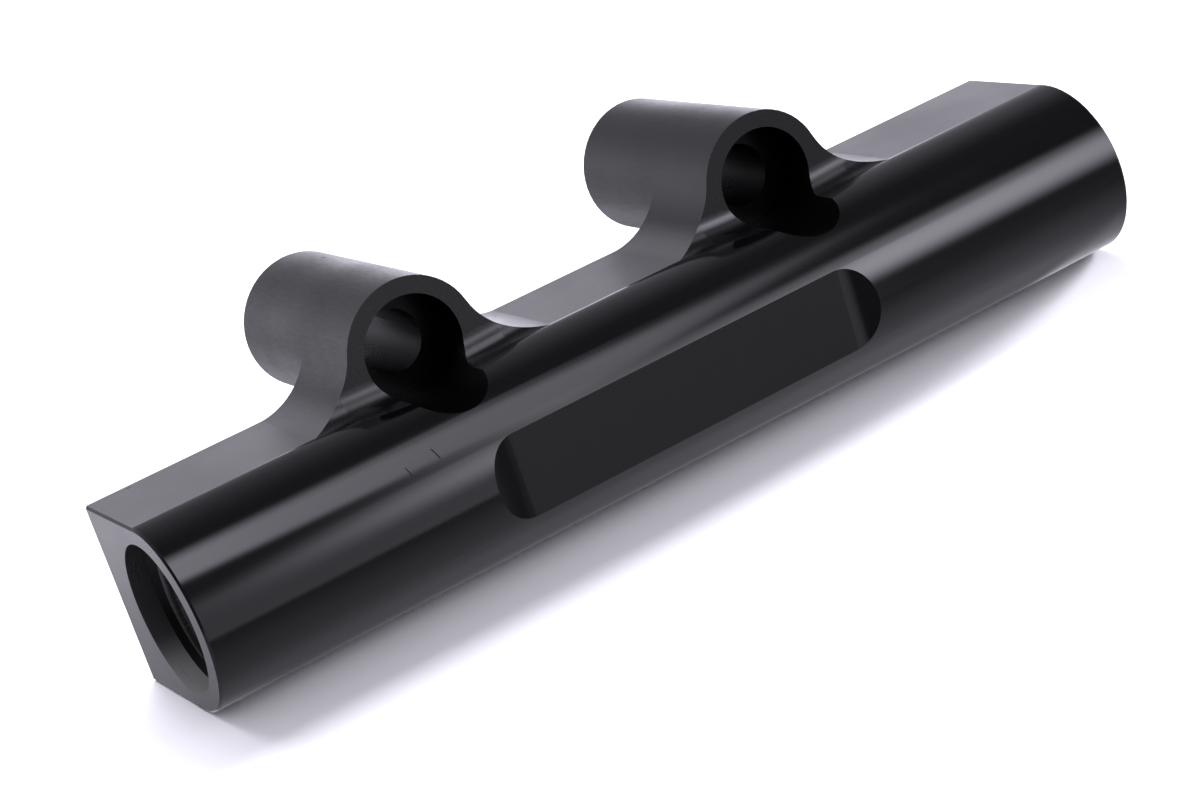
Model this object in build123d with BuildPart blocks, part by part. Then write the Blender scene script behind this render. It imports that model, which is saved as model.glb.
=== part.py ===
from build123d import *
import os

os.makedirs("parts", exist_ok=True)

# The rail body: a bar with a round front and a square back, cut to length.
rail_length = 147.5
rail_height = 25.4
round_radius = rail_height / 2
round_centre_y = -0.65
back_face_y = 16.9
crown_proud = 0.03
end_chamfer = 0.3

# The fuel gallery and its two threaded ends, one common axis along X.
gallery_radius = 8.0
thread_radius = 9.55
thread_end_x = 17.0
port_radius = 10.4
port_depth = 2.85

# The two mounting bosses stand above the top flat and run out behind the back face.
boss_spacing = 57.0
boss_pair_x = -0.95
boss_radius = 9.5
boss_axis_z = 17.0
boss_front_y = 2.8
boss_length = 34.7
boss_fillet = 10.3
fillet_sink = 0.03
boss_edge_chamfer = 0.3

# Each boss takes a cap screw: a counterbore for the head and a clearance hole.
counterbore_radius = 7.1
counterbore_depth = 7.0
screw_radius = 4.0
screw_clearance = 0.4

# The relief milled in front of each boss face, down into the top of the round.
foot_radius = 3.2
relief_half_width = 17.0
relief_depth = 0.4
relief_overrun = 1.0

# The shallow recess for a name plate on the round front, between cutter run-outs.
recess_depth = 1.4
recess_floor_length = 51.6
recess_cutter_radius = 9.0

# The injector cups bored from the back face into the gallery.
injector_spacing = 100.0
injector_seal_radius = 7.0
injector_clearance = 0.05
injector_cup_depth = 9.8
injector_leadin = 0.8

# The values below follow from the ones above.
half_length = rail_length / 2
top_flat_z = round_radius - crown_proud
screw_hole_radius = screw_radius + screw_clearance
injector_cup_radius = injector_seal_radius + injector_clearance
round_front_y = round_centre_y - round_radius
recess_floor_y = round_front_y + recess_depth
boss_xs = [boss_pair_x - boss_spacing / 2, boss_pair_x + boss_spacing / 2]
injector_xs = [boss_pair_x - injector_spacing / 2, boss_pair_x + injector_spacing / 2]
recess_cutter_y = recess_floor_y - recess_cutter_radius
port_taper_end = port_depth + port_radius - thread_radius
gallery_taper_end = thread_end_x + thread_radius - gallery_radius
foot_front_y = boss_front_y - foot_radius
clear_z = boss_axis_z + boss_radius + relief_overrun

# A boss fillet starts a hair below the flat, so the two cross cleanly, and ends on the boss.
fillet_foot_z = top_flat_z - fillet_sink
fillet_rise = boss_axis_z - fillet_foot_z - boss_fillet
fillet_reach = ((boss_radius + boss_fillet) ** 2 - fillet_rise ** 2) ** 0.5
fillet_share = boss_radius / (boss_radius + boss_fillet)
fillet_top_x = fillet_reach * fillet_share
fillet_top_z = boss_axis_z - fillet_rise * fillet_share


def on_back_face(edge):
    # True for a round edge lying in the back face and centred on the gallery's height.
    middle = edge.arc_center
    return abs(middle.Y - back_face_y) < end_chamfer and abs(middle.Z) < end_chamfer


with BuildPart() as rail:
    # The bar: a round with a square block behind it.
    with BuildSketch(Plane.YZ):
        with Locations((round_centre_y, 0)):
            Circle(round_radius)
        with BuildLine():
            Polyline(
                (round_centre_y, -top_flat_z),
                (back_face_y, -top_flat_z),
                (back_face_y, top_flat_z),
                (round_centre_y, top_flat_z),
                close=True,
            )
        make_face()
    extrude(amount=half_length, both=True)
    ends = rail.faces().filter_by(Axis.X)
    chamfer(ends.edges(), length=end_chamfer)
    # The bosses: each outline has hollow fillets down to the flat and a rounded foot.
    for boss_x in boss_xs:
        with BuildPart(mode=Mode.PRIVATE) as web:
            with BuildSketch(Plane.XZ.offset(-foot_front_y)):
                with Locations((boss_x, boss_axis_z)):
                    Circle(boss_radius)
                with BuildLine():
                    foot_left = (boss_x - fillet_reach, fillet_foot_z)
                    foot_right = (boss_x + fillet_reach, fillet_foot_z)
                    shoulder_left = (boss_x - fillet_top_x, fillet_top_z)
                    shoulder_right = (boss_x + fillet_top_x, fillet_top_z)
                    RadiusArc(foot_left, shoulder_left, -boss_fillet)
                    Line(shoulder_left, (boss_x, boss_axis_z))
                    Line((boss_x, boss_axis_z), shoulder_right)
                    RadiusArc(shoulder_right, foot_right, -boss_fillet)
                    Line(foot_right, (boss_x, 0))
                    Line((boss_x, 0), foot_left)
                make_face()
            extrude(amount=foot_front_y - back_face_y)
            with BuildSketch(Plane.YZ.offset(boss_x)):
                with BuildLine():
                    Line((foot_front_y, top_flat_z), (foot_front_y, clear_z))
                    Line((foot_front_y, clear_z), (boss_front_y, clear_z))
                    Line((boss_front_y, clear_z), (boss_front_y, top_flat_z + foot_radius))
                    RadiusArc(
                        (boss_front_y, top_flat_z + foot_radius),
                        (foot_front_y, top_flat_z),
                        foot_radius,
                    )
                make_face()
            extrude(amount=boss_spacing / 2, both=True, mode=Mode.SUBTRACT)
        add(web.part)
        # Behind the back face only the full cylinder goes on to the seat.
        with BuildSketch(Plane.XZ.offset(-boss_front_y)):
            with Locations((boss_x, boss_axis_z)):
                Circle(boss_radius)
        extrude(amount=-boss_length)
        # The relief: a shallow hollow pass across the round in front of the boss.
        with BuildPart(mode=Mode.PRIVATE) as relief_cutter:
            with BuildSketch(Plane.XZ.offset(-boss_front_y)):
                with BuildLine():
                    dip_left = (boss_x - relief_half_width, top_flat_z + relief_depth)
                    dip_right = (boss_x + relief_half_width, top_flat_z + relief_depth)
                    dip_low = (boss_x, top_flat_z - relief_depth)
                    ThreePointArc(dip_left, dip_low, dip_right)
                    Line(dip_right, (boss_x + relief_half_width, clear_z))
                    Line((boss_x + relief_half_width, clear_z), (boss_x - relief_half_width, clear_z))
                    Line((boss_x - relief_half_width, clear_z), dip_left)
                make_face()
            extrude(amount=boss_front_y + round_radius)
            back_edges = relief_cutter.edges().group_by(Axis.Y)[-1]
            fillet(back_edges.filter_by(GeomType.CIRCLE), radius=foot_radius)
        add(relief_cutter.part, mode=Mode.SUBTRACT)
        # The counterbore runs out through the front; the screw hole goes on to the seat.
        with BuildSketch(Plane.XZ.offset(-boss_front_y - counterbore_depth)):
            with Locations((boss_x, boss_axis_z)):
                Circle(counterbore_radius)
        extrude(amount=counterbore_depth + boss_front_y + round_radius, mode=Mode.SUBTRACT)
        with BuildSketch(Plane.XZ.offset(-boss_front_y)):
            with Locations((boss_x, boss_axis_z)):
                Circle(screw_hole_radius)
        extrude(amount=-boss_length, mode=Mode.SUBTRACT)
    seats = rail.faces().filter_by(Axis.Y).group_by(Axis.Y)[-1]
    chamfer(seats.edges(), length=boss_edge_chamfer)
    # The name plate recess: a slab cutter with rounded ends, run along the front.
    with BuildSketch(Plane.XY.offset(-round_radius)):
        with BuildLine():
            floor_left = (boss_pair_x - recess_floor_length / 2, recess_floor_y)
            floor_right = (boss_pair_x + recess_floor_length / 2, recess_floor_y)
            run_left = (floor_left[0] - recess_cutter_radius, recess_cutter_y)
            run_right = (floor_right[0] + recess_cutter_radius, recess_cutter_y)
            RadiusArc(run_left, floor_left, recess_cutter_radius)
            Line(floor_left, floor_right)
            RadiusArc(floor_right, run_right, recess_cutter_radius)
            Line(run_right, run_left)
        make_face()
    extrude(amount=rail_height, mode=Mode.SUBTRACT)
    # The gallery runs the whole length; each end opens into a port.
    with BuildSketch(Plane.YZ):
        Circle(gallery_radius)
    extrude(amount=half_length, both=True, mode=Mode.SUBTRACT)
    for face_x, inward in ((-half_length, 1), (half_length, -1)):
        with BuildSketch(Plane.XZ):
            with BuildLine():
                Polyline(
                    (face_x, 0),
                    (face_x, port_radius),
                    (face_x + inward * port_depth, port_radius),
                    (face_x + inward * port_taper_end, thread_radius),
                    (face_x + inward * thread_end_x, thread_radius),
                    (face_x + inward * gallery_taper_end, gallery_radius),
                    (face_x + inward * gallery_taper_end, 0),
                    close=True,
                )
            make_face()
        revolve(axis=Axis.X, mode=Mode.SUBTRACT)
    # The injector cups: bored from the back, each mouth opened with a lead-in.
    for injector_x in injector_xs:
        with BuildSketch(Plane.XZ.offset(-back_face_y)):
            with Locations((injector_x, 0)):
                Circle(injector_cup_radius)
        extrude(amount=injector_cup_depth, mode=Mode.SUBTRACT)
    back_rims = rail.edges().filter_by(GeomType.CIRCLE).filter_by(on_back_face)
    chamfer(back_rims, length=injector_leadin)
rail.part.label = "fuel_rail_body"
export_step(rail.part, "parts/fuel_rail_body.step")
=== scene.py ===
# %% [markdown]
# # A black anodised fuel rail
# A fuel rail feeds petrol to the injectors of an engine. This one is a single piece of billet
# aluminium: a bar with a round front and a flat back, two bosses that take its mounting screws,
# a shallow recess along the front and a threaded port in each end. The CAD part already has all
# of those shapes at their real size, so this scene adds what CAD leaves out: the screw threads,
# the anodised finish, the marks that cutters and knocks have left, and a small studio.

# %% Load the CAD part
import math

import bmesh
import bpy
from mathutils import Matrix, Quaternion, Vector


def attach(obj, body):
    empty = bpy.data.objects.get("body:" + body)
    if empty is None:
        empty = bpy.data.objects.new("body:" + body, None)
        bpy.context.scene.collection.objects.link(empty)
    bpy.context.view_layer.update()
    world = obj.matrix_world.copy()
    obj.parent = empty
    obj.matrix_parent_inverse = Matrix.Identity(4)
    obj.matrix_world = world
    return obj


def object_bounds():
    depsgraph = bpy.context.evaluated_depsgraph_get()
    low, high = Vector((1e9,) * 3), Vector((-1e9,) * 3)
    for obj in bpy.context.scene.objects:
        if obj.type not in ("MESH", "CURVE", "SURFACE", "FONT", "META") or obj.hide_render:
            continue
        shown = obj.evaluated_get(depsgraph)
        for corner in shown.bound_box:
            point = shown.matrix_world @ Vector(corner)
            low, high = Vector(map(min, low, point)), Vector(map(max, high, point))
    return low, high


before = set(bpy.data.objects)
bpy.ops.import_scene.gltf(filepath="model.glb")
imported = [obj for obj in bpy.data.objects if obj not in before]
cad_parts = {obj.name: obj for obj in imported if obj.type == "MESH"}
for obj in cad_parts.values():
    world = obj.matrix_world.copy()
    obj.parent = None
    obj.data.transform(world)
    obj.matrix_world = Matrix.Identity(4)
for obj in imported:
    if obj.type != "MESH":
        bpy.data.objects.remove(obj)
CAD_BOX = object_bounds()
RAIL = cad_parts["fuel_rail_body"]
MM = 0.001
print("CAD box, mm:", [round(v / MM, 2) for corner in CAD_BOX for v in corner])

# %% [markdown]
# ## Small tools for node trees
# A light or a finish without a picture behind it is a chain of small nodes. Made one by one,
# each takes three or four lines, and the idea of the chain gets lost. With a few helpers the
# chain reads as a formula: `node` adds a node and fills its sockets, `maths`, `plus` and
# `times` join numbers, `ramp` maps one range onto another, and `graph` draws a bent line.


# %% Node helpers
def node(tree, kind, sockets=None, **settings):
    """Add a node. sockets maps a socket's name to a plain value or to another node's output."""
    made = tree.nodes.new(kind)
    for name, value in settings.items():
        setattr(made, name, value)
    for name, value in (sockets or {}).items():
        feed(tree, made.inputs[name], value)
    return made


def feed(tree, socket, value):
    """Link another node's output to a socket, or set the socket to a plain value."""
    if isinstance(value, bpy.types.NodeSocket):
        tree.links.new(value, socket)
    else:
        socket.default_value = value


# %% Sums, ramps and graphs
def maths(tree, operation, *values):
    """One step of arithmetic on numbers or outputs; operation is the Math node's name for it."""
    made = tree.nodes.new("ShaderNodeMath")
    made.operation = operation
    for socket, value in zip(made.inputs, values):
        feed(tree, socket, value)
    return made.outputs[0]


def plus(tree, first, *others):
    for other in others:
        first = maths(tree, "ADD", first, other)
    return first


def times(tree, first, *others):
    for other in others:
        first = maths(tree, "MULTIPLY", first, other)
    return first


def ramp(tree, value, start, end, low=0.0, high=1.0, smooth=True):
    """low up to start, high from end on, and a smooth or a straight slope in between."""
    limits = {"From Min": start, "From Max": end, "To Min": low, "To Max": high}
    slope = "SMOOTHSTEP" if smooth else "LINEAR"
    made = node(tree, "ShaderNodeMapRange", {"Value": value, **limits}, interpolation_type=slope)
    return made.outputs["Result"]


def graph(tree, value, points):
    """A straight-line graph through points of (value, result), level beyond both ends."""
    result = points[0][1]
    for (x0, y0), (x1, y1) in zip(points, points[1:]):
        if y1 != y0:
            result = plus(tree, ramp(tree, value, x0, x1, 0.0, y1 - y0, smooth=False), result)
    return result


# %% [markdown]
# ## A room to reflect
# A polished cylinder is a mirror that squeezes the whole room into thin bands, so black
# anodising gets nearly all of its look from what stands around it. Real panels and lamps could
# build that room, but soft edges are hard to give them and each adds noise. Here the world's
# own shader paints the panels on the sky instead, with as soft an edge as each one needs.
#
# The rail lies along X, so two numbers place a patch of that sky: AROUND, an angle that turns
# round the rail, and TO_RIGHT, how far the direction heads to the right, from -1 to 1. Patches
# that lie level along the horizon are simpler to place by TO_SKY, how far it heads upward.

# %% The angles of the sky
world = bpy.data.worlds.new("studio")
bpy.context.scene.world = world
world.use_nodes = True
sky = world.node_tree
sky.nodes.clear()
look = node(sky, "ShaderNodeTexCoord").outputs["Generated"]
TO_RIGHT, TO_BACK, TO_SKY = node(sky, "ShaderNodeSeparateXYZ", {"Vector": look}).outputs
TO_FRONT = times(sky, TO_BACK, -1.0)
DEGREES = 180.0 / math.pi
FROM_TOP = times(sky, maths(sky, "ARCTAN2", TO_FRONT, TO_SKY), DEGREES)
BACK_SEAM = -100.0
turned_over = times(sky, maths(sky, "LESS_THAN", FROM_TOP, BACK_SEAM), 360.0)
AROUND = plus(sky, FROM_TOP, turned_over)
print("AROUND is 0 overhead, 90 in front, 180 below and 260 low behind the rail")


# %% [markdown]
# ## Soft boxes above and in front
# Three soft boxes make the bands on the upper half of the round. The first hangs nearly
# overhead, the second and brightest stands high in front, and the third is a weak panel at the
# height of the rail. The first two hang at a slant, which makes their bands widen and narrow
# along the rail, so the edges of a box are graphs over TO_RIGHT, and so is its brightness.


# %% Light strips
def strip(start, end, feather, along):
    """A band of light along the rail, from start to end degrees round it.

    start, end and along are graphs over TO_RIGHT: the two edges in degrees, and the brightness.
    feather is how far, in degrees, each edge fades to both sides.
    """
    past_start = maths(sky, "SUBTRACT", AROUND, graph(sky, TO_RIGHT, start))
    before_end = maths(sky, "SUBTRACT", graph(sky, TO_RIGHT, end), AROUND)
    opening = ramp(sky, past_start, -feather[0], feather[0])
    closing = ramp(sky, before_end, -feather[1], feather[1])
    return times(sky, opening, closing, graph(sky, TO_RIGHT, along))


# %% Three soft boxes
overhead = strip(
    start=[(0.25, 7), (0.35, 11), (0.43, 17)],
    end=[(0.25, 37), (0.34, 45), (0.39, 50), (0.43, 41), (0.485, 22), (0.51, 9)],
    feather=(9, 5),
    along=[
        (-0.2, 0.0), (0.25, 4.1), (0.29, 3.0), (0.35, 2.4),
        (0.42, 2.3), (0.455, 1.4), (0.51, 0.2), (0.55, 0.0),
    ],
)
big_box = strip(
    start=[(0.25, 62.5), (0.35, 52.5), (0.43, 51)],
    end=[(0.43, 82)],
    feather=(13, 13),
    along=[(0.265, 0.0), (0.35, 2.45), (0.43, 4.7), (0.48, 6.1), (0.52, 6.0), (0.57, 4.6), (0.8, 0.0)],
)
front_panel = strip(
    start=[(0.0, 66)],
    end=[(0.0, 111.5)],
    feather=(9, 3.5),
    along=[(0.05, 0.0), (0.2, 0.6), (0.35, 0.8), (0.42, 0.75), (0.5, 0.1)],
)
print("nodes for the soft boxes:", len(sky.nodes))

# %% [markdown]
# ## The table and the haze behind
# The pale table glows in the lower half of the round. It is brightest straight below and falls
# off towards the back, where the rail shades it. A weaker haze behind and above keeps the backs
# of the fillets from going quite black. Both are wide and have no edge, so one graph round the
# rail times one along it is enough.

# %% Glow from below and behind
below_glow = times(
    sky,
    graph(sky, AROUND, [
        (104, 0.0), (139, 0.72), (172, 1.0), (186, 1.0), (212, 0.36), (222, 0.27),
        (228, 0.33), (233, 0.25), (239, 0.12), (245, 0.02), (262, -0.03),
    ]),
    graph(sky, TO_RIGHT, [(0.0, 0.0), (0.2, 0.37), (0.28, 0.42), (0.43, 0.62), (0.55, 0.66), (0.65, 0.1)]),
)
back_haze = times(
    sky,
    graph(sky, FROM_TOP, [(-100, 0.0), (-88, 1.0), (-64, 1.0), (-40, 0.8), (-24, 0.3), (-12, 0.0)]),
    graph(sky, TO_RIGHT, [(0.28, 0.14), (0.43, 0.26), (0.55, 0.29)]),
)
print("nodes with both glows:", len(sky.nodes))

# %% [markdown]
# ## The backdrop
# The flats and the tops of the bosses look past the rail, low over the table, at the wall
# behind. A bright band just above the horizon lights them, the open table below it lights the
# flanks of the bosses and the end face, and a dim corner at the left finishes the wall.

# %% Backdrop
behind = ramp(sky, TO_BACK, 0.1, 0.6)
horizon = times(
    sky,
    graph(sky, TO_SKY, [(-0.17, 0.0), (-0.05, 3.0), (0.14, 3.3), (0.23, 0.2), (0.3, 0.0)]),
    graph(sky, TO_RIGHT, [(-0.5, 0.06), (-0.3, 0.18), (0.05, 1.0)]),
)
open_table = times(
    sky,
    graph(sky, TO_SKY, [(-0.22, 1.0), (-0.06, 0.0)]),
    graph(sky, TO_RIGHT, [
        (-0.5, 0.3), (-0.35, 0.45), (-0.2, 0.75), (0.0, 0.65),
        (0.2, 0.5), (0.27, 0.0), (0.6, 0.0), (0.7, 0.9),
    ]),
)
back_left = times(
    sky,
    graph(sky, TO_SKY, [(0.2, 1.0), (0.6, 0.0)]),
    graph(sky, TO_RIGHT, [(-0.6, 0.3), (-0.28, 0.35), (-0.1, 0.0)]),
)
backdrop = times(sky, behind, plus(sky, horizon, open_table, back_left))
print("nodes with the backdrop:", len(sky.nodes))

# %% [markdown]
# ## Switch the room on
# The patches add up over a dim, slightly blue room. Only reflections see this sky: were it to
# light the table as well, a change to one band on the rail would shift the shadow too.

# %% World
ROOM_DIM = 0.12
COOL_WHITE = (0.985, 0.965, 1.09, 1.0)
glow = plus(sky, ROOM_DIM, overhead, big_box, front_panel, below_glow, back_haze, backdrop)
shine = node(sky, "ShaderNodeBackground", {"Color": COOL_WHITE, "Strength": glow})
node(sky, "ShaderNodeOutputWorld", {"Surface": shine.outputs[0]})
world.cycles_visibility.diffuse = False
print("nodes in the sky:", len(sky.nodes))

# %% [markdown]
# ## Lamps for the table
# The table gets its light from suns that don't show in the rail. A sun shines evenly over the
# whole table, and its angle sets how soft the shadow is, so five wide ones are all it takes: a
# key from behind, which throws the shadow forward, a fill from straight above and two from the
# front that keep the shadow open, and a low one that thins it towards the right end.
#
# One more sun, the first in the list, is linked to the rail alone. It comes from the upper left
# and brushes the matt walls of the ports and the bosses without touching the shadow.


# %% Suns
def wide_sun(name, place, spread, strength):
    """A sun that shines from place towards the origin, spread degrees wide."""
    lamp = bpy.data.lights.new(name, "SUN")
    lamp.energy = strength
    lamp.angle = math.radians(spread)
    sun = bpy.data.objects.new(name, lamp)
    sun.rotation_mode = "QUATERNION"
    sun.rotation_quaternion = Vector(place).to_track_quat("Z", "Y")
    sun.visible_glossy = False
    bpy.context.scene.collection.objects.link(sun)
    return sun


rail_sun = wide_sun("rail_sun", (-1.0, 0.2, 1.1), spread=25, strength=3.3)
rail_sun.light_linking.receiver_collection = bpy.data.collections.new("rail_only")
rail_sun.light_linking.receiver_collection.objects.link(RAIL)
wide_sun("key", (0.2, 0.8, 0.8), spread=50, strength=4.0)
wide_sun("fill", (0.0, 0.1, 1.0), spread=150, strength=1.6)
wide_sun("front_fill", (0.1, -1.0, 0.7), spread=60, strength=0.5)
wide_sun("low_front", (0.0, -1.0, 0.3), spread=25, strength=0.85)
wide_sun("low_right", (1.0, 0.2, 0.16), spread=15, strength=13.0)
print("suns:", [lamp.name for lamp in bpy.data.lights if lamp.type == "SUN"])

# %% [markdown]
# ## Light cards beside the ends
# The sky is infinitely far away, so it can't brighten one stretch of the rail only. A sheet
# that lies on the table near an end can. Two such cards glow in reflections and are otherwise
# unseen. The right one lifts the lower edge of the round towards its end. The left one gets
# brighter away from the rail, so the end face is lighter at its top than at its foot.


# %% Cards
CARD_DROP = 0.01 * MM


def card(name, x_span, y_span, brightness, cover):
    """A glowing sheet on the table, spans in millimetres.

    brightness and cover are functions of (tree, x, y), with x and y in millimetres. The sheet
    is solid where its cover is 1 and clear where it is 0.
    """
    mesh = bpy.data.meshes.new(name)
    (left, right), (front, back) = x_span, y_span
    outline = ((left, front), (right, front), (right, back), (left, back))
    mesh.from_pydata([(x * MM, y * MM, 0.0) for x, y in outline], [], [(0, 1, 2, 3)])
    sheet = bpy.data.objects.new(name, mesh)
    sheet.location.z = CAD_BOX[0].z - CARD_DROP
    bpy.context.scene.collection.objects.link(sheet)
    mesh.materials.append(card_paint(name, brightness, cover))
    sheet.visible_camera = sheet.visible_diffuse = False
    sheet.visible_shadow = sheet.visible_transmission = False
    return sheet


def card_paint(name, brightness, cover):
    """A light that shines where the sheet is solid, and clear glass where it isn't."""
    paint = bpy.data.materials.new(name)
    paint.use_nodes = True
    tree = paint.node_tree
    tree.nodes.clear()
    place = node(tree, "ShaderNodeTexCoord").outputs["Object"]
    x, y, _ = node(tree, "ShaderNodeSeparateXYZ", {"Vector": place}).outputs
    x, y = maths(tree, "DIVIDE", x, MM), maths(tree, "DIVIDE", y, MM)
    glowing = node(tree, "ShaderNodeEmission", {"Color": COOL_WHITE, "Strength": brightness(tree, x, y)})
    clear = node(tree, "ShaderNodeBsdfTransparent")
    layers = {0: cover(tree, x, y), 1: clear.outputs[0], 2: glowing.outputs[0]}
    blend = node(tree, "ShaderNodeMixShader", layers)
    node(tree, "ShaderNodeOutputMaterial", {"Surface": blend.outputs[0]})
    return paint


# %% The card past the right end
def right_brightness(tree, x, y):
    """A little brighter just past the end than below it."""
    return graph(tree, x, [(62, 0.8), (74, 1.0)])


def right_cover(tree, x, y):
    """Solid in the middle; its front edge runs at a slant and fades over a few millimetres."""
    across = graph(tree, x, [(56, 0.0), (65, 1.0), (120, 1.0), (160, 0.0)])
    slant = plus(tree, y, times(tree, x, 0.5))
    return times(tree, across, graph(tree, slant, [(23.5, 0.0), (26.5, 1.0)]))


card_right = card("card_right", (56, 160), (-30, 60), right_brightness, right_cover)
print("right card, mm:", [round(v / MM) for v in card_right.dimensions])


# %% The card past the left end
def left_brightness(tree, x, y):
    """Dim beside the rail and brighter towards the back."""
    return graph(tree, y, [(0, 0.45), (15, 0.55), (50, 0.9), (90, 1.4)])


def left_cover(tree, x, y):
    """Solid, and faded out at the back."""
    return graph(tree, y, [(90, 1.0), (130, 0.0)])


card_left = card("card_left", (-160, -73.8), (-30, 130), left_brightness, left_cover)
print("left card, mm:", [round(v / MM) for v in card_left.dimensions])

# %% [markdown]
# ## The table
# A wide, pale, matt sheet lies under the rail. It is lit until it is just over white, so that
# only the shadow shows. The rail doesn't mirror it: the sky below the horizon stands in for it
# there, which keeps the bands on the round free of the shadow's shape.

# %% Table
TABLE_SIZE = 12.0
TABLE_TOP = CAD_BOX[0].z - 2 * CARD_DROP
TABLE_COLOUR = (0.88, 0.87, 0.97, 1.0)


def pale_table():
    """A matt disc just below the rail, left out of every mirror."""
    mesh = bpy.data.meshes.new("table_top")
    disc = bmesh.new()
    bmesh.ops.create_circle(disc, cap_ends=True, segments=96, radius=TABLE_SIZE / 2)
    disc.to_mesh(mesh)
    disc.free()
    table = bpy.data.objects.new("table_top", mesh)
    table.location.z = TABLE_TOP
    bpy.context.scene.collection.objects.link(table)
    paint = bpy.data.materials.new("pale_table")
    paint.use_nodes = True
    shader = paint.node_tree.nodes["Principled BSDF"]
    shader.inputs["Base Color"].default_value = TABLE_COLOUR
    shader.inputs["Roughness"].default_value = 0.9
    shader.inputs["Specular IOR Level"].default_value = 0.0
    mesh.materials.append(paint)
    table.visible_glossy = False
    return table


table = pale_table()
print("table, m across:", round(table.dimensions.x, 2))

# %% [markdown]
# ## The anodised finish
# Black anodising is a hard clear oxide filled with black dye. Light that enters it is lost, so
# the base colour is close to black and the surface shows little more than mirror light, which
# is weak head-on and strong at a glancing angle: plain Fresnel at glass strength. A metal
# shader would be wrong here, because it would mirror strongly from every side.
#
# How sharp the mirror is depends on the cut below the oxide. Every cutter also leaves fine
# lines, so the finish has a noise that is drawn out along the cut and works on both the gloss
# and a very low bump.


# %% Scratches and nicks
def scratch(tree, place, start, end, width):
    """1 on a short straight scratch between two points in millimetres, 0 away from it."""
    start, along = Vector(start) * MM, (Vector(end) - Vector(start)) * MM
    offset = vector_maths(tree, "SUBTRACT", {0: place, 1: start}, "Vector")
    share = vector_maths(tree, "DOT_PRODUCT", {0: offset, 1: along}, "Value")
    share = ramp(tree, share, 0.0, along.length_squared, smooth=False)
    nearest = vector_maths(tree, "SCALE", {0: along, "Scale": share}, "Vector")
    gap = vector_maths(tree, "DISTANCE", {0: offset, 1: nearest}, "Value")
    return ramp(tree, gap, width * MM / 2, width * MM, 1.0, 0.0)


def vector_maths(tree, operation, sockets, output):
    """Like maths, for vectors. output is the socket with the result: Vector or Value."""
    return node(tree, "ShaderNodeVectorMath", sockets, operation=operation).outputs[output]


# %% Anodise material
MOTTLE_SCALE = 60.0
LINES_SHARE = 0.6
MIX_LOW, MIX_HIGH = 0.5, 1.1
GLOSS_SPREAD = 0.15
GLASS_IOR = 1.5


def anodise(name, colour, roughness, grain, relief, stretch=(1, 1, 1), marks=(), mirror=0.5, painted_bounce=None):
    """Black oxide over one kind of cut.

    grain: how fine the cutter lines are, roughly their number to a metre.
    relief: the height of the lines in millimetres.
    stretch: how the grain scales along X, Y and Z; a small number draws it out that way.
    marks: scratches, each as (start, end, width) in millimetres.
    mirror: strength of the mirror light, 0.5 for plain Fresnel.
    The last argument, (low, high, lift), is painted light. Up to the height low, in
    millimetres, the base is lift times lighter, standing in for light thrown up by the
    table, and from high on it is plain.
    """
    finish = bpy.data.materials.new(name)
    finish.use_nodes = True
    tree = finish.node_tree
    shader = tree.nodes["Principled BSDF"]
    place = node(tree, "ShaderNodeTexCoord").outputs["Object"]
    drawn = node(tree, "ShaderNodeMapping", {"Vector": place, "Scale": stretch}).outputs[0]
    lines = node(tree, "ShaderNodeTexNoise", {"Vector": drawn, "Scale": grain, "Detail": 3.0}).outputs[0]
    feed(tree, shader.inputs["Roughness"], gloss_of(tree, place, lines, roughness, marks))
    bump_sockets = {"Height": lines, "Strength": 1.0, "Distance": relief * MM}
    feed(tree, shader.inputs["Normal"], node(tree, "ShaderNodeBump", bump_sockets).outputs[0])
    shader.inputs["Base Color"].default_value = (*colour, 1.0)
    shader.inputs["IOR"].default_value = GLASS_IOR
    shader.inputs["Specular IOR Level"].default_value = mirror
    # Painted light: the base is made lighter low down, in place of light bounced up from the table.
    if painted_bounce:
        low, high, lift = painted_bounce
        height = node(tree, "ShaderNodeSeparateXYZ", {"Vector": place}).outputs["Z"]
        lighter = ramp(tree, height, low * MM, high * MM, lift, 1.0)
        painted_bounce_base = vector_maths(tree, "SCALE", {0: colour, "Scale": lighter}, "Vector")
        feed(tree, shader.inputs["Base Color"], painted_bounce_base)
    return finish


def gloss_of(tree, place, lines, roughness, marks):
    """Roughness that varies a little with the cutter lines and a larger mottle; marks are dull."""
    mottle = node(tree, "ShaderNodeTexNoise", {"Vector": place, "Scale": MOTTLE_SCALE, "Detail": 2.0})
    mixed = plus(tree, times(tree, lines, LINES_SHARE), mottle.outputs[0])
    smooth, rough = roughness * (1 - GLOSS_SPREAD), roughness * (1 + GLOSS_SPREAD)
    gloss = ramp(tree, mixed, MIX_LOW, MIX_HIGH, smooth, rough)
    for start, end, width in marks:
        gloss = maths(tree, "MAXIMUM", gloss, scratch(tree, place, start, end, width))
    return gloss


# %% [markdown]
# ## The finishes of the bar
# The round front is polished lengthways to a near mirror, and faint lines run along it. The
# flats and the ends are milled: much duller, and a little greyer, because a rough cut sends some
# light back before it reaches the dye. The knocks are small: two scratches on the round, a
# speck on the flat and a nick at the foot of the left end.

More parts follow.
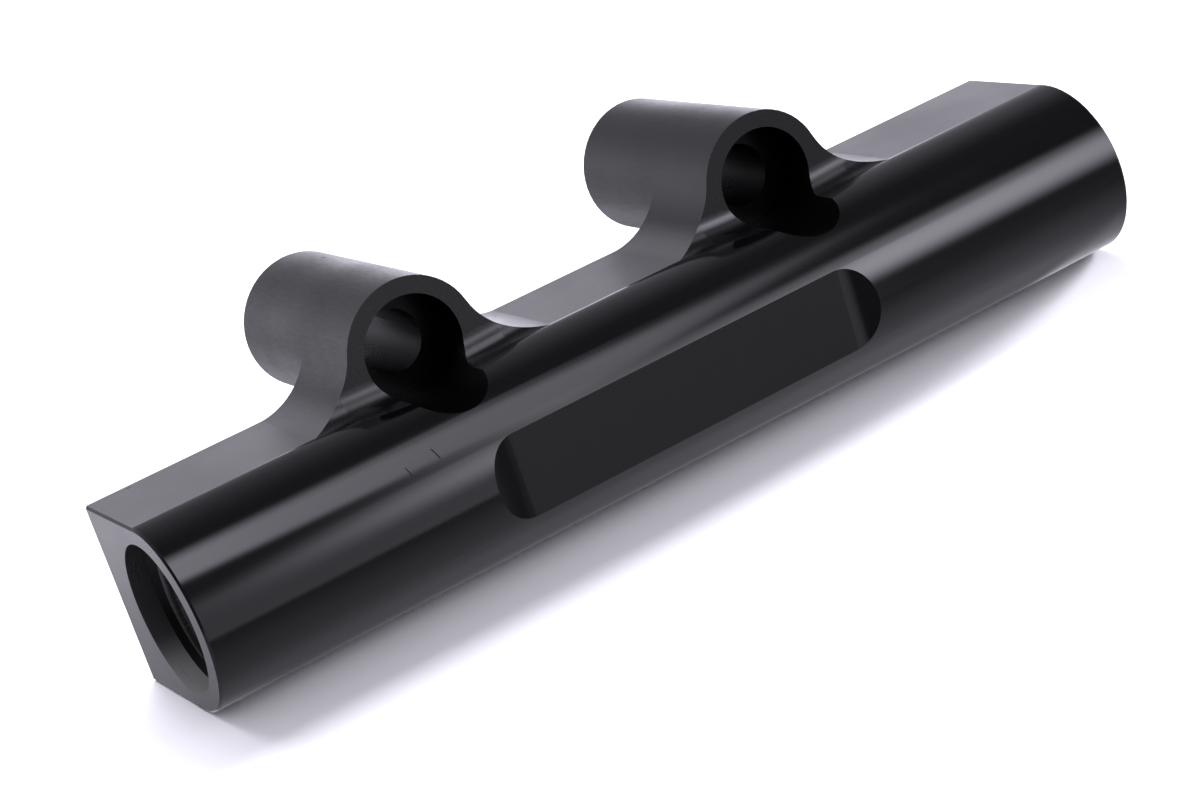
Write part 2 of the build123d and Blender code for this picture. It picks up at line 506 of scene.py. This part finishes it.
# %% Finishes of the bar
ROUND_MARKS = (
    ((-37.1, -10.4, 8.15), (-36.7, -11.3, 6.9), 0.1),
    ((-41.35, -10.85, 7.6), (-41.1, -11.5, 6.6), 0.08),
)
FLAT_MARKS = (((-67.9, 15.8, 12.7), (-67.7, 15.8, 12.7), 0.3),)
END_MARKS = (((-73.7, 0.14, -12.25), (-73.7, -0.49, -12.66), 0.3),)
LENGTHWAYS = (0.02, 1, 1)
FINISHES = {}
FINISHES["round"] = anodise(
    "anodise_round", (0.0012, 0.0011, 0.0014), roughness=0.10,
    grain=900, relief=0.0003, stretch=LENGTHWAYS, marks=ROUND_MARKS,
)
FINISHES["flat"] = anodise(
    "anodise_flat", (0.042, 0.041, 0.047), roughness=0.42, grain=5000, relief=0.0008, marks=FLAT_MARKS
)
FINISHES["end"] = anodise(
    "anodise_end", (0.026, 0.0252, 0.0278), roughness=0.30, grain=5000, relief=0.0008, marks=END_MARKS
)
print("finishes so far:", list(FINISHES))

# %% [markdown]
# ## The finishes of the ports and the recess
# A port is bored with a single-point tool, which leaves rings that run round it: the grain is
# drawn out along Y and Z. The flanks of the thread are a little greyer. The recess is cut
# by the tip of one end mill, which leaves a satin floor, and by its side where it runs out at
# each end, which leaves two smoother ramps.

# %% Finishes of the ports and the recess
ROUND_THE_PORT = (1, 0.02, 0.02)
UP_THE_RAMP = (1, 1, 0.05)
# The port wall's base is painted lighter low down, as painted light from the table below.
FINISHES["port"] = anodise(
    "anodise_port", (0.018, 0.0178, 0.0192), roughness=0.30,
    grain=2500, relief=0.0003, stretch=ROUND_THE_PORT, painted_bounce=(-9.8, -4.5, 5.5),
)
FINISHES["thread"] = anodise(
    "anodise_thread", (0.04, 0.04, 0.044), roughness=0.25, grain=2500, relief=0.0004
)
FINISHES["recess"] = anodise(
    "anodise_recess", (0.002, 0.002, 0.0024), roughness=0.35, grain=3000, relief=0.0008, mirror=0.45
)
FINISHES["ramp"] = anodise(
    "anodise_ramp", (0.001, 0.001, 0.0012), roughness=0.14,
    grain=3000, relief=0.0004, stretch=UP_THE_RAMP, mirror=0.45,
)
print("finishes so far:", list(FINISHES))

# %% [markdown]
# ## The finishes of the bosses
# The barrel of a boss is milled in many small steps and reads as a fine matt texture. The ring
# round the counterbore and the rounded foot below it are cut by sharper tools and are closer
# to the round. Down in the bores hardly any light comes back, so their mirror is weakened too, as painted
# shade.

# %% Finishes of the bosses
ALONG_THE_BARREL = (1, 0.2, 1)
BOSS_MARKS = (
    ((-27.35, 28.6, 26.2), (-27.25, 28.6, 26.2), 0.35),
    ((-38.94, 9.25, 17.3), (-38.94, 9.35, 17.3), 0.3),
)
FINISHES["ring"] = anodise(
    "anodise_ring", (0.002, 0.002, 0.0023), roughness=0.29, grain=3000, relief=0.0008
)
FINISHES["foot"] = anodise(
    "anodise_foot", (0.002, 0.002, 0.0023), roughness=0.24, grain=3000, relief=0.0008
)
# The barrel's base is painted lighter near its foot, as painted light from the table below.
FINISHES["boss"] = anodise(
    "anodise_boss", (0.01, 0.0098, 0.0112), roughness=0.42, grain=2500, relief=0.0004,
    stretch=ALONG_THE_BARREL, marks=BOSS_MARKS, painted_bounce=(12.7, 15.5, 4.2),
)
FINISHES["bore"] = anodise(
    "anodise_bore", (0.0006, 0.0006, 0.0006), roughness=0.30, grain=2500, relief=0.0008, mirror=0.15
)
print("all finishes:", list(FINISHES))

# %% [markdown]
# ## Which cut made which face
# The CAD part is one mesh, so its facets have to be told apart before each can have the finish
# of its own cut. Picking them by hand would break with the next change of a size. Instead each
# facet is asked three questions in turn. Is it on the round? Is it down a hole? If it is
# neither, which way does it face, and where? The middle of a long facet says little about where
# its ends are, so wherever one could reach past a border, all of its corners are asked.


# %% Is it on the round?
ROUND_Y = -0.65 * MM
ROUND_RADIUS = 12.7 * MM
FLAT_FRONT = 0.23 * MM
TOUCHING = 0.05 * MM
NEAR = 0.1 * MM
STRAIGHT_OUT = 0.9965


def on_round(face, corners):
    """True for a facet that has its corners on the round and faces straight out of it."""
    off_round = max(abs(math.hypot(c.y - ROUND_Y, c.z) - ROUND_RADIUS) for c in corners)
    spoke = Vector((0.0, face.center.y - ROUND_Y, face.center.z))
    sag = ROUND_RADIUS - spoke.length
    in_front = face.center.y < FLAT_FRONT
    outward = face.normal.dot(spoke.normalized()) > STRAIGHT_OUT
    return off_round < TOUCHING and sag < NEAR and in_front and outward


# %% Is it down a hole?
BOSS_AXES = (-29.45 * MM, 27.55 * MM)
BOSS_HEIGHT = 17.0 * MM
BORE_RADIUS = 7.1 * MM
PORT_RADIUS = 10.4 * MM
SIDEWAYS = 0.1


def cut_in_hole(face, corners):
    """bore or port for a facet inside a boss or a port, otherwise None."""
    for axis in BOSS_AXES:
        if max(math.hypot(c.x - axis, c.z - BOSS_HEIGHT) for c in corners) < BORE_RADIUS + TOUCHING:
            return "bore"
    if max(math.hypot(c.y, c.z) for c in corners) < PORT_RADIUS + NEAR:
        off_wall = abs(math.hypot(face.center.y, face.center.z) - PORT_RADIUS)
        return "port" if off_wall < NEAR and abs(face.normal.x) < SIDEWAYS else "bore"
    return None


# %% Which way does it face?
FLAT_HEIGHT = 12.7 * MM
BOSS_FRONT = 2.8 * MM
FOOT_REACH = 18.0 * MM
RECESS_Y = -10.0 * MM
HALF_LENGTH = CAD_BOX[1].x
SQUARE = 0.95
DEAD_SQUARE = 0.999
SLOPE = math.sqrt(0.5)
EDGE_REACH = 0.75 * MM
RING_FROM = FLAT_HEIGHT + 5 * MM


def is_broken_edge(middle, normal):
    """True for the small slopes round a boss's ring and round the ends of the bar."""
    round_ring = abs(normal.y + SLOPE) < 0.1 and middle.z > RING_FROM
    round_end = abs(abs(normal.x) - SLOPE) < 0.05 and abs(middle.x) > HALF_LENGTH - EDGE_REACH
    return round_ring or round_end


def cut_outside(face, corners):
    """The cut of any other facet, by the way it faces and by where it is."""
    middle, normal = face.center, face.normal
    if abs(normal.x) > SQUARE and abs(middle.x) > HALF_LENGTH - NEAR:
        return "end"
    if is_broken_edge(middle, normal):
        return "round"
    level = abs(normal.z) > SQUARE and abs(abs(middle.z) - FLAT_HEIGHT) < NEAR
    if level or normal.y > SQUARE:
        beside_boss = min(abs(middle.x - axis) for axis in BOSS_AXES) < FOOT_REACH
        before_boss = max(c.y for c in corners) < BOSS_FRONT and middle.z > 0
        return "foot" if beside_boss and before_boss else "flat"
    if middle.y < RECESS_Y:
        return "recess" if normal.y < -DEAD_SQUARE else "ramp"
    if normal.y < -SQUARE:
        return "ring"
    return "foot" if middle.y < BOSS_FRONT - TOUCHING else "boss"


# %% Sort the facets
def cut_of(face):
    """The name of the finish that a facet of the rail gets."""
    corners = [RAIL.data.vertices[i].co for i in face.vertices]
    if on_round(face, corners):
        return "round"
    return cut_in_hole(face, corners) or cut_outside(face, corners)


names = list(FINISHES)
RAIL.data.materials.clear()
for finish in FINISHES.values():
    RAIL.data.materials.append(finish)
counts = dict.fromkeys(names, 0)
for face in RAIL.data.polygons:
    cut = cut_of(face)
    face.material_index = names.index(cut)
    counts[cut] += 1
print("facets by cut:", counts)

# %% [markdown]
# ## Port threads
# Each port is tapped with a fine parallel thread for a sealed fitting. The ports are looked
# into at a slant, where one crest hides the next, and a bump in the material can't do that, so
# the thread is a mesh. It could be cut from the CAD part, but that would change the frame.
# Instead it is a thin sleeve that lines the bore. Its radius rises and falls once per turn,
# shifted a little further along with every step round, which winds it into a true helix.

# %% Thread sizes
THREAD_ROOT = 9.53 * MM
THREAD_DEPTH = 0.75 * MM
THREAD_PITCH = 25.4 / 16 * MM
THREAD_FROM, THREAD_TO = 3.75 * MM, 16.8 * MM
SLEEVE_BACK = 9.7 * MM
STEPS_ROUND, STEPS_PER_TURN = 96, 10
print("turns of thread in each port:", round((THREAD_TO - THREAD_FROM) / THREAD_PITCH, 1))


# %% The helix
def ridge(turns):
    """Height of the thread ridge, 0 at the root and 1 on the crest, by how many turns along.

    Root and crest are each flat over a sixth of a turn.
    """
    part = abs((turns % 1.0) - 0.5) * 2.0
    return min(1.0, max(0.0, 1.25 - 1.5 * part))


def thread_radius(depth, turn):
    """Radius of the thread at a depth in the port and a share of a turn; it fades at both ends."""
    fade = min(1.0, (depth - THREAD_FROM) / THREAD_PITCH, (THREAD_TO - depth) / THREAD_PITCH)
    return THREAD_ROOT - THREAD_DEPTH * fade * ridge(depth / THREAD_PITCH - turn)


def ring_of(mesh, x, radii):
    """A ring of points round the port's axis at x, one for each radius."""
    ring = []
    for step, radius in enumerate(radii):
        angle = 2 * math.pi * (step / len(radii))
        ring.append(mesh.verts.new((x, radius * math.cos(angle), radius * math.sin(angle))))
    return ring


# %% The sleeve
def sleeve_rings(mesh, end):
    """Rings along the thread, then two more that lead back behind it to close the sleeve.

    end is -1 for the port at -X and 1 for the one at +X.
    """
    mouth = CAD_BOX[0].x if end < 0 else CAD_BOX[1].x
    length = THREAD_TO - THREAD_FROM
    steps = round(length / THREAD_PITCH * STEPS_PER_TURN)
    rings = []
    for i in range(steps + 1):
        depth = THREAD_FROM + length * i / steps
        radii = [thread_radius(depth, j / STEPS_ROUND) for j in range(STEPS_ROUND)]
        rings.append(ring_of(mesh, mouth - end * depth, radii))
    for depth in (THREAD_TO, THREAD_FROM):
        rings.append(ring_of(mesh, mouth - end * depth, [SLEEVE_BACK] * STEPS_ROUND))
    return rings


def skin(mesh, rings):
    """Faces between each ring and the next, and from the last back to the first."""
    for ring, following in zip(rings, rings[1:] + rings[:1]):
        for j in range(STEPS_ROUND):
            k = (j + 1) % STEPS_ROUND
            mesh.faces.new((ring[j], ring[k], following[k], following[j]))
    bmesh.ops.recalc_face_normals(mesh, faces=mesh.faces)


# %% Threads
def thread(name, end):
    """The tapped sleeve of one port, as a piece of the finished model."""
    mesh = bmesh.new()
    skin(mesh, sleeve_rings(mesh, end))
    data = bpy.data.meshes.new(name)
    mesh.to_mesh(data)
    mesh.free()
    data.shade_smooth()
    data.materials.append(FINISHES["thread"])
    piece = bpy.data.objects.new(name, data)
    bpy.context.scene.collection.objects.link(piece)
    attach(piece, "root")
    return piece


for name, end in (("port_thread_left", -1), ("port_thread_right", 1)):
    piece = thread(name, end)
    print(name, len(piece.data.polygons), "faces")

# %% [markdown]
# ## The camera
# A wide lens near the rail would make its near end swell. A long lens from further off keeps
# the bar's edges almost parallel. The camera stands in front of the rail, to its left and
# above it, and is rolled so that the rail climbs from lower left to upper right. A small
# shift centres the rail without turning the camera.

# %% Camera
CAMERA_PLACE = Vector((-162.92, -334.456, 120.518)) * MM
CAMERA_AIM = Vector((-11.0, -8.0, 6.87)) * MM
CAMERA_ROLL = math.radians(-18.59)
CAMERA_LENS = 87.54
CAMERA_SENSOR = 36.0
CAMERA_SHIFT = (0.0034, -0.0245)

camera_data = bpy.data.cameras.new("camera")
camera_data.lens = CAMERA_LENS
camera_data.sensor_width = CAMERA_SENSOR
camera_data.shift_x, camera_data.shift_y = CAMERA_SHIFT
camera_data.clip_start = 0.01
camera_data.clip_end = 50.0
camera = bpy.data.objects.new("camera", camera_data)
bpy.context.scene.collection.objects.link(camera)
bpy.context.scene.camera = camera
sight = CAMERA_AIM - CAMERA_PLACE
camera.location = CAMERA_PLACE
camera.rotation_mode = "QUATERNION"
camera.rotation_quaternion = sight.to_track_quat("-Z", "Y") @ Quaternion((0, 0, 1), CAMERA_ROLL)
print("camera to aim, mm:", round(sight.length / MM))

# %% [markdown]
# ## View transform
# The plain view transform keeps a white table white.

# %% Finish
bpy.context.scene.view_settings.view_transform = "Standard"
